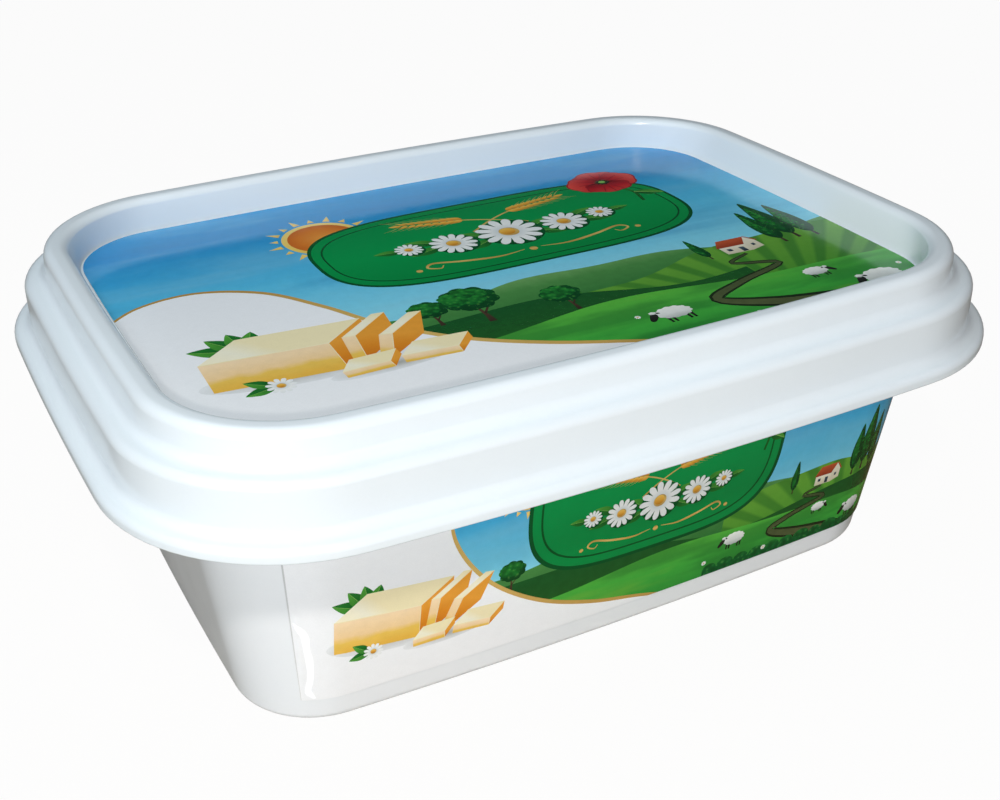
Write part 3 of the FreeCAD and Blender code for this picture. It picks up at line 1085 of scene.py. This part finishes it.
def drawTreeTop(sheet, spot, x, y, wide, high, seed):
    stamp(sheet, "treeDark", spot(lumpy(x, y, wide, high, 9, 0.12, seed)))
    for item in range(5):
        angle = seed + item * 2.4
        cx = x + wide * 0.42 * math.cos(angle) - wide * 0.1
        cy = y + high * 0.34 * math.sin(angle) + high * 0.16
        clump = lumpy(cx, cy, wide * 0.46, high * 0.42, 7, 0.18, seed + item, 32)
        stamp(sheet, "treeLight", spot(clump))


def drawRoundTree(sheet, x, y, size, seed):
    spot = placer(x, y, size)
    stamp(sheet, "trunk", spot(ribbon([(0, -0.2), (0.1, 2.2), (-0.1, 5.0)], [1.1, 0.6, 0.4], 3)))
    stamp(sheet, "trunk", spot(ribbon([(0.1, 2.4), (1.4, 4.2), (2.2, 5.4)], [0.4, 0.2], 3)))
    drawTreeTop(sheet, spot, 0.2, 7.6, 4.4, 3.9, seed)


def drawPoplar(sheet, x, y, size):
    spot = placer(x, y, size)
    dark = [(0, 1.2), (1.3, 2.8), (1.45, 6.0), (0.9, 9.4), (0.1, 12.2), (-0.8, 9.2), (-1.4, 6.0),
            (-1.2, 2.8)]
    light = [(-0.2, 2.2), (0.4, 4.5), (0.1, 7.6), (-0.1, 10.6), (-0.9, 8.0), (-1.1, 4.8)]
    stamp(sheet, "trunk", spot([(-0.25, -0.2), (0.25, -0.2), (0.15, 2.4), (-0.15, 2.4)]))
    stamp(sheet, "treeDark", spot(smoothLine(dark, 5, True)))
    stamp(sheet, "treeLight", spot(smoothLine(light, 5, True)))


def drawFarm(sheet, x, y, size):
    spot = placer(x, y, size)
    parts = (
        ("limeWall", (0, 0), (4.6, -0.2), (4.6, 2.5), (0, 2.7)),
        ("limeWall", (4.6, -0.2), (7.0, 0.5), (7.0, 3.0), (5.9, 4.7), (4.6, 2.5)),
        ("tileRoof", (-0.4, 2.5), (4.5, 2.3), (6.0, 4.9), (1.1, 5.0)),
        ("tileRoof", (5.9, 4.9), (6.2, 4.9), (7.5, 2.9), (7.1, 2.8)),
        ("windowDark", (0.8, 0.9), (1.6, 0.87), (1.6, 1.7), (0.8, 1.73)),
        ("windowDark", (2.9, 0), (3.8, -0.05), (3.8, 1.6), (2.9, 1.65)),
        ("windowDark", (5.5, 1.2), (6.1, 1.3), (6.1, 2.1), (5.5, 2.0)),
    )
    for ink, *corners in parts:
        stamp(sheet, ink, spot(corners))


def drawSheep(sheet, x, y, size, flip):
    spot = placer(x, y, size, 0, flip)
    head = [(-2.0, 2.5), (-2.6, 2.9), (-3.5, 1.5), (-3.2, 1.0), (-2.4, 1.6)]
    for leg in (-1.5, -0.9, 1.0, 1.6):
        stamp(sheet, "woolDark", spot([(leg, 0), (leg + 0.3, 0), (leg + 0.4, 1.8), (leg - 0.1, 1.8)]))
    stamp(sheet, "wool", spot(lumpy(0.1, 2.3, 2.45, 1.5, 13, 0.13, 0.3, 52)))
    stamp(sheet, "woolDark", spot(smoothLine(head, 4, True)))
    stamp(sheet, "woolDark", spot(oval(-1.9, 2.9, 0.5, 0.2, -0.5, 12)))
    stamp(sheet, "wool", spot(lumpy(-2.3, 3.0, 0.5, 0.36, 6, 0.2, 0, 20)))


def drawBushes(sheet, left, right, level, base, size):
    # a leafy hedge along the bottom edge
    line = []
    x = left
    item = 0
    while x < right:
        swell = size * (0.7 + 0.5 * abs(math.sin(item * 1.7 + 0.4)))
        for step in range(6):
            angle = math.pi * (1 - step / 6)
            line.append((x + swell + swell * math.cos(angle), level + swell * 0.8 * math.sin(angle)))
        x += 2 * swell
        item += 1
    line.append((x, level))
    stamp(sheet, "bush", [(left, base), (x, base)] + line[::-1], (left, base), (left, level + size))


def drawField(sheet, edge, corners, gold):
    # the white ground under the butter, with a gold line and a hairline beside it
    curve = smoothLine(edge, 8)
    stamp(sheet, "field", curve + corners)
    stamp(sheet, "goldLine", ribbon(edge, [gold * 0.5, gold, gold * 1.2, gold * 0.8], 8))


def drawLand(sheet, land):
    # sky, hills, fields, trees and animals, from back to front
    left = land["left"]
    right = land["right"]
    base = land["base"]
    top = land["top"]
    heaven = [(left, base), (right, base), (right, top), (left, top)]
    stamp(sheet, "sky", heaven, (left, land["horizon"]), (left, top))
    for ink, lowX, highX, level, swings, depth in land["ridges"]:
        middle = (lowX + highX) / 2
        skyline = ridge(lowX, highX, level, swings, base)
        stamp(sheet, ink, skyline, (middle, level - depth), (middle, level + 2))
    widths = land["trackWidths"]
    for points in land["tracks"]:
        stamp(sheet, "trackEdge", ribbon(points, [wide * 1.7 for wide in widths], 6))
        stamp(sheet, "track", ribbon(points, widths, 6))
    drawings = (("farms", drawFarm), ("poplars", drawPoplar), ("trees", drawRoundTree))
    for kind, draw in drawings:
        for place in land[kind]:
            draw(sheet, *place)
    for lowX, highX, level, size in land["hedges"]:
        drawBushes(sheet, lowX, highX, level, base, size)
    for place in land["sheep"]:
        drawSheep(sheet, *place)
    for x, y, size in land["daisies"]:
        drawDaisy(sheet, x, y, size, 9, x)


# cutting the sheet into a printed film

def cutFilm(name, sheet, border, guides, place, thickness):
    # border first, then the shapes and the guide lines that let the film bend
    shapes = [{"ink": "bareFilm", "points": border, "start": (0, 0), "end": (0, 1), "half": 1}] + sheet
    corners = []
    loops = []
    edges = []
    for shape in shapes:
        start = len(corners)
        corners += [Vector(point) for point in shape["points"]]
        loops.append(list(range(start, len(corners))))
    for guide in guides:
        start = len(corners)
        corners += [Vector(point) for point in guide]
        edges += [(item, item + 1) for item in range(start, len(corners) - 1)]
    cut = geometry.delaunay_2d_cdt(corners, edges, loops, 0, filmFinish["cutGap"])
    flat = cut[0]
    kept = [(face, max(owners)) for face, owners in zip(cut[2], cut[5]) if 0 in owners]
    number = {"bareFilm": 0, "filmEdge": 1}
    for shape in shapes:
        number.setdefault(shape["ink"], len(number))

    # outer skin, inner skin and the cut edge between them
    work = bmesh.new()
    outer = {}
    inner = {}
    for item in dict.fromkeys(item for face, owner in kept for item in face):
        outer[item] = work.verts.new(place(flat[item].x, flat[item].y, thickness))
        inner[item] = work.verts.new(place(flat[item].x, flat[item].y, 0.0))
    shade = work.loops.layers.uv.new("shapeShade")
    sides = set()
    for face, owner in kept:
        shape = shapes[owner]
        upper = work.faces.new([outer[item] for item in face])
        upper.material_index = number[shape["ink"]]
        work.faces.new([inner[item] for item in reversed(face)]).material_index = number["bareFilm"]
        start = Vector(shape["start"])
        span = Vector(shape["end"]) - start
        for loop, item in zip(upper.loops, face):
            away = flat[item] - start
            along = away.dot(span) / span.length_squared
            aside = away.cross(span) / span.length / max(shape["half"], 0.01)
            loop[shade].uv = (along, aside)
        sides.update(zip(face, list(face[1:]) + [face[0]]))
    for a, b in sorted(sides):
        if (b, a) not in sides:
            side = work.faces.new([outer[b], outer[a], inner[a], inner[b]])
            # the cut edge gets painted shade, greyer than the film's face
            side.material_index = number["filmEdge"]
    work.verts.index_update()
    skin = {vert.index: flat[item] for item, vert in outer.items()}
    mesh = bpy.data.meshes.new(name)
    work.to_mesh(mesh)
    work.free()
    for ink in number:
        mesh.materials.append(inkMaterials[ink])

    # the skin shades by the true surface, whatever shapes cross it
    probe = filmFinish["probe"]
    normals = []
    for polygon in mesh.polygons:
        polygon.use_smooth = True
        if not all(item in skin for item in polygon.vertices):
            normals += [polygon.normal.copy() for item in polygon.vertices]
            continue
        for item in polygon.vertices:
            x, y = skin[item]
            across = place(x + probe, y, thickness) - place(x - probe, y, thickness)
            upward = place(x, y + probe, thickness) - place(x, y - probe, thickness)
            normal = across.cross(upward).normalized()
            # the painted glint strip's shading leans upwards, so that it catches the lamps
            if polygon.material_index == number.get("crest"):
                normal = (normal + Vector((0, 0, filmFinish["crestLift"]))).normalized()
            normals.append(normal)
    mesh.normals_split_custom_set(normals)
    print(name + ":", len(sheet), "shapes,", len(mesh.polygons), "faces")
    return linkObject(name, mesh)


# the film in the lid's recess

lidPrint = {
    "plaque": (7.5, 11.0, 29.5, 12.6),
    "garland": (7.5, 10.4, 1.13),
    "sun": (-17.5, 21.0, 6.2),
    "poppy": (31.0, 21.8, 4.6),
    "butter": (-33.0, -16.5, 1.0),
    "fieldEdge": [(-54, 5.0), (-48, 9.6), (-40, 10.6), (-32, 6.4), (-26.5, -1.5), (-22, -10),
                  (-15, -18.5), (-6, -25), (4, -30), (12, -34), (18, -39)],
    "fieldCorners": [(-60, -42), (-60, 5)],
    "gold": 0.8,
}

lidLand = {
    "left": -56, "right": 56, "base": -40, "top": 40, "horizon": -9,
    "ridges": [
        # ink, from x, to x, level, waves (rise, length, phase), depth of its shading
        ("farHill", -56, 56, -8.0, [(1.9, 9.0, 0.6), (0.8, 4.1, 2.0)], 9),
        ("furrow", 4, 56, -11.6, [(3.4, 13.0, -1.7), (0.5, 3.7, 0.4)], 14),
        ("hillDark", -56, 30, -15.4, [(2.6, 11.5, 2.4), (0.6, 4.9, 1.0)], 10),
        ("meadow", -56, 56, -20.4, [(1.7, 14.0, 0.9), (0.6, 6.1, 0.3)], 16),
    ],
    "tracks": [
        [(33, -13.6), (29, -15.6), (35, -18.4), (26, -21.4), (20, -24.6), (27, -29), (40, -33),
         (50, -39)],
    ],
    "trackWidths": [0.35, 0.6, 0.9, 1.4, 2.2, 3.4],
    "farms": [(30.5, -12.8, 0.95)],
    "poplars": [(41.0, -12.6, 1.05), (43.8, -12.0, 1.25), (46.8, -12.6, 1.12), (27.6, -13.0, 0.62)],
    "trees": [(-9.0, -16.0, 0.98, 0.4), (-15.2, -14.2, 0.66, 2.0), (2.6, -18.2, 0.7, 1.1)],
    "hedges": [(4, 54, -33.6, 2.0)],
    "sheep": [(12.5, -27.6, 1.15, 1), (37.5, -25.2, 0.85, -1), (44.5, -31.6, 1.35, 1)],
    "daisies": [(17, -33.0, 0.55), (22.5, -30.4, 0.5), (32.5, -34.2, 0.6), (49.5, -26.5, 0.45),
                (7.6, -24.2, 0.45)],
}


def makeLidPrint():
    sheet = []
    drawLand(sheet, lidLand)
    drawSun(sheet, *lidPrint["sun"])
    drawField(sheet, lidPrint["fieldEdge"], lidPrint["fieldCorners"], lidPrint["gold"])
    drawButter(sheet, *lidPrint["butter"])
    drawPlaque(sheet, *lidPrint["plaque"])
    drawPoppy(sheet, *lidPrint["poppy"])
    drawGarland(sheet, *lidPrint["garland"])
    border = [(point.x, point.y) for point in ringPoints(panelOutline(lid["panelMargin"]), 0)]

    def place(x, y, height):
        return Vector((x * mm, y * mm, panelLow.z + height))

    piece = cutFilm("lidPrint", sheet, border, [], place, panelHigh.z - panelLow.z)
    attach(piece, "root")
    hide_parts("lid_label")


makeLidPrint()


# the film round the tub: front, right end and back

tubPrint = {
    "seamLean": 4.1,  # degrees
    "thickness": 0.0002,
    "runs": (76.0, 21.05, 43.5, 21.05, 76.0, 21.05, 43.5, 21.05),  # print along each side and corner
    "bendEvery": 4.0,
    "cornerBends": 16,
    "frontBends": (-42.8, -41.2, -39.6),
    "backBends": 6,
    "backEvery": 1.3,
    "seamGap": 0.3,  # no bend nearer to the back seam
    "seamSteps": 29,
    "ripple": {  # the lifted, wavy edge at the front seam
        "height": 0.12,
        "middle": 0.8,
        "spread": 0.4125,
        "level": 0.72,
        "waves": [(0.34, 1.55, 0.6), (0.22, 3.3, 0.0)],  # height, pace, phase
        "top": 23,
        "topFade": 4,
        "footFade": 2.5,
        "lines": (0.25, 0.5, 0.75, 1.0, 1.25, 1.5, 1.75),
    },
    "seamShade": (0.30, 0.26, 0.16, 0.10),  # the edge's thin shade line, from the top down
    "shadeHeights": (30, 24, 18, 12, 7),
    "shadeIn": 0.08,
    # the painted glint strip beside the seam, brighter white than the bare film
    "crest": [  # height, then how far its two sides stand from the seam
        (17.4, 0.35, 0.5), (16.0, 0.75, 1.75), (14.8, 1.15, 2.2), (13.0, 1.25, 2.15), (11.2, 1.35, 2.4),
        (9.0, 1.4, 2.35), (7.2, 1.15, 2.1), (5.9, 0.8, 1.7), (5.1, 0.9, 2.0), (4.3, 1.75, 2.3),
    ],
    "plaque": (4.5, 25.0, 18.6, 11.6),
    "garland": (4.5, 21.0, 0.70),
    "sun": (-14.5, 29.5, 3.6),
    "poppy": (19.6, 30.2, 2.9),
    "butter": (-30.5, 12.4, 0.68),
    "fieldEdge": [(-22.5, 37), (-24.8, 29), (-23.6, 22.5), (-19, 15.5), (-12, 10), (-4, 6.6), (4, 4.6),
                  (12, 2)],
    "fieldBack": [(-45, 1), (-43.4, 7), (-45.6, 14), (-48.4, 21), (-47.0, 29), (-48.6, 37)],
    "fieldCorners": [(-52, 0), (-52, 37)],
    "gold": 0.55,
}

tubLand = {
    "left": -50, "right": 212, "base": 2, "top": 36, "horizon": 15,
    "ridges": [
        ("farHill", -50, 212, 17.4, [(1.5, 9.4, 0.9), (0.6, 4.2, 2.0)], 7),
        ("furrow", 16, 62, 15.6, [(1.9, 7.6, -2.4), (0.3, 2.7, 0.4)], 9),
        ("furrow", 150, 212, 15.2, [(1.9, 9.4, 1.2), (0.3, 2.7, 0.4)], 9),
        ("hillDark", -50, 212, 13.0, [(1.8, 10.2, 2.6), (0.4, 4.6, 1.0)], 7),
        ("meadow", -50, 212, 10.4, [(1.0, 12.6, 0.4), (0.4, 5.3, 0.3)], 9),
    ],
    "tracks": [
        [(33, 13.6), (30, 12.7), (34, 11.4), (28, 9.8), (25, 8.2), (30, 6.2), (38, 4.2), (44, 1)],
        [(84, 14.0), (88, 12.8), (82, 11.0), (86, 9.2), (94, 6.8), (92, 4.2), (98, 1)],
        [(194.6, 13.6), (191.6, 12.7), (195.6, 11.4), (189.6, 9.8), (186.6, 8.2), (191.6, 6.2),
         (200, 2)],
    ],
    "trackWidths": [0.25, 0.4, 0.6, 0.9, 1.4, 2.2],
    "farms": [(31.6, 13.8, 0.62), (81.0, 14.0, 0.7), (193.2, 13.8, 0.62)],
    "poplars": [(38.6, 13.6, 0.72), (40.6, 14.0, 0.9), (42.8, 13.4, 0.8), (27.6, 13.9, 0.46),
                (90.0, 14.0, 0.8), (92.4, 13.6, 0.95), (200.2, 13.6, 0.72), (202.2, 14.0, 0.9)],
    "trees": [(55.5, 12.0, 0.9, 0.4), (61.5, 13.0, 0.66, 2.0), (73.0, 12.6, 0.6, 1.1),
              (101.5, 12.2, 0.8, 2.7), (108.0, 13.2, 0.6, 0.9), (-16.4, 13.2, 0.44, 0.4),
              (145.0, 13.2, 0.44, 0.4)],
    "hedges": [(14, 106, 5.0, 1.3), (176, 206, 5.0, 1.3)],
    "sheep": [(18.5, 7.6, 0.74, 1), (33.5, 8.4, 0.52, -1), (41.0, 5.4, 0.86, 1), (66.0, 8.0, 0.8, -1),
              (76.5, 6.0, 0.9, 1), (181, 7.6, 0.74, 1), (196.5, 8.0, 0.6, -1)],
    "daisies": [(14.0, 6.4, 0.4), (24.5, 5.4, 0.42), (49.0, 7.0, 0.42), (57, 6.2, 0.45),
                (70.5, 5.6, 0.4), (88.0, 6.0, 0.45), (97.5, 7.4, 0.4), (176, 6.6, 0.4),
                (189, 5.6, 0.42)],
}


def tubSpot(px, z, out):
    # a place on the tub's wall from the print's run and the height
    runs = tubPrint["runs"]
    px += runs[0] / 2
    number = 0
    if px < 0:
        px += runs[7]
        number = 7
    while number < 6 and px > runs[number]:
        px -= runs[number]
        number += 1
    return onOutline(tubOutline(1 - z / tub["shoulder"], out), number, px / runs[number], z)


def seamRun(z, low, high):
    # where the leaning seam crosses this height, between two runs of the print
    lean = math.tan(math.radians(tubPrint["seamLean"]))
    aim = filmLow.x / mm + (filmHigh.z / mm - z) * lean
    rising = tubSpot(high, z, 0).x > tubSpot(low, z, 0).x
    for halving in range(30):
        middle = (low + high) / 2
        if (tubSpot(middle, z, 0).x > aim) == rising:
            high = middle
        else:
            low = middle
    return (low + high) / 2


def seamLift(off, z, foot):
    # how far the film's edge stands off, in a slow wave from mid height down
    look = tubPrint["ripple"]
    swell = math.exp(-((off - look["middle"]) / look["spread"]) ** 2)
    low = min(max((z - foot) / look["footFade"], 0.0), 1.0)
    high = min(max((look["top"] - z) / look["topFade"], 0.0), 1.0)
    wave = look["level"] + sum(size * math.sin(z * pace + phase) for size, pace, phase in look["waves"])
    return look["height"] * swell * low * high * wave


def makeTubPrint():
    runs = tubPrint["runs"]
    foot = filmLow.z / mm
    top = filmHigh.z / mm
    frontHigh = -runs[0] / 2
    frontLow = frontHigh - runs[7]
    backLow = runs[0] / 2 + sum(runs[1:5])
    backHigh = backLow + runs[5]
    backCentre = backLow - runs[4] / 2
    gold = tubPrint["gold"]

    def moved(name, shift):
        return [(x + shift, y) for x, y in tubPrint[name]]

    def seam(z):
        return seamRun(z, frontLow, frontHigh)

    sheet = []
    drawLand(sheet, tubLand)
    motifs = {"butter": drawButter, "plaque": drawPlaque, "poppy": drawPoppy, "garland": drawGarland}
    for shift in (0.0, backCentre):
        drawSun(sheet, tubPrint["sun"][0] + shift, *tubPrint["sun"][1:])
        if shift:
            side = moved("fieldBack", shift)
            drawField(sheet, moved("fieldEdge", shift), smoothLine(side, 8), gold)
            stamp(sheet, "goldLine", ribbon(side, [gold * 0.6, gold * 1.1], 8))
        else:
            drawField(sheet, tubPrint["fieldEdge"], tubPrint["fieldCorners"], gold)
        for name, draw in motifs.items():
            draw(sheet, tubPrint[name][0] + shift, *tubPrint[name][1:])

    # a painted glint beside the front seam, a strip of brighter white ink, and the painted shade line
    # along the edge
    left = smoothLine([(seam(z) + near, z) for z, near, far in tubPrint["crest"]], 4)
    right = smoothLine([(seam(z) + far, z) for z, near, far in tubPrint["crest"]], 4)
    stamp(sheet, "crest", left + right[::-1])
    edge = [(seam(z) + tubPrint["shadeIn"], z) for z in (top, *tubPrint["shadeHeights"], foot)]
    stamp(sheet, "edgeShade", ribbon(edge, tubPrint["seamShade"], 4))

    # upright bends, from the front seam to the back one
    bends = list(tubPrint["frontBends"])
    px = frontHigh
    for number in range(5):
        steps = tubPrint["cornerBends"] if number % 2 else round(runs[number] / tubPrint["bendEvery"])
        bends += [px + runs[number] * step / steps for step in range(steps)]
        px += runs[number]
    bends += [backLow + step * tubPrint["backEvery"] for step in range(tubPrint["backBends"])]

    # border: along the foot, up the back seam, along the top and down the front seam
    steps = tubPrint["seamSteps"]
    heights = [foot + (top - foot) * step / steps for step in range(steps + 1)]
    seamLow = [seam(z) for z in heights]
    seamFar = [seamRun(z, backLow, backHigh) for z in heights]
    bends = [at for at in bends if at < min(seamFar) - tubPrint["seamGap"]]
    border = [(seamLow[0], foot)] + [(at, foot) for at in bends] + list(zip(seamFar, heights))
    border += [(at, top) for at in reversed(bends)] + list(zip(seamLow, heights))[:0:-1]
    guides = [[(at, foot), (at, top)] for at in bends]
    lines = tubPrint["ripple"]["lines"]
    for gap in lines:
        guides.append([(at + gap, z) for at, z in zip(seamLow, heights)])
    for at, z in zip(seamLow[1:-1], heights[1:-1]):
        guides.append([(at, z), (at + lines[-1], z)])
    seamAt = {}

    def place(x, y, height):
        out = height / mm
        if height > 0 and x < frontHigh:
            key = round(y, 4)
            if key not in seamAt:
                seamAt[key] = seam(y)
            out += seamLift(x - seamAt[key], y, foot)
        return tubSpot(x, y, out) * mm

    piece = cutFilm("tubPrint", sheet, border, guides, place, tubPrint["thickness"])
    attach(piece, "root")
    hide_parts("tub_label")


makeTubPrint()
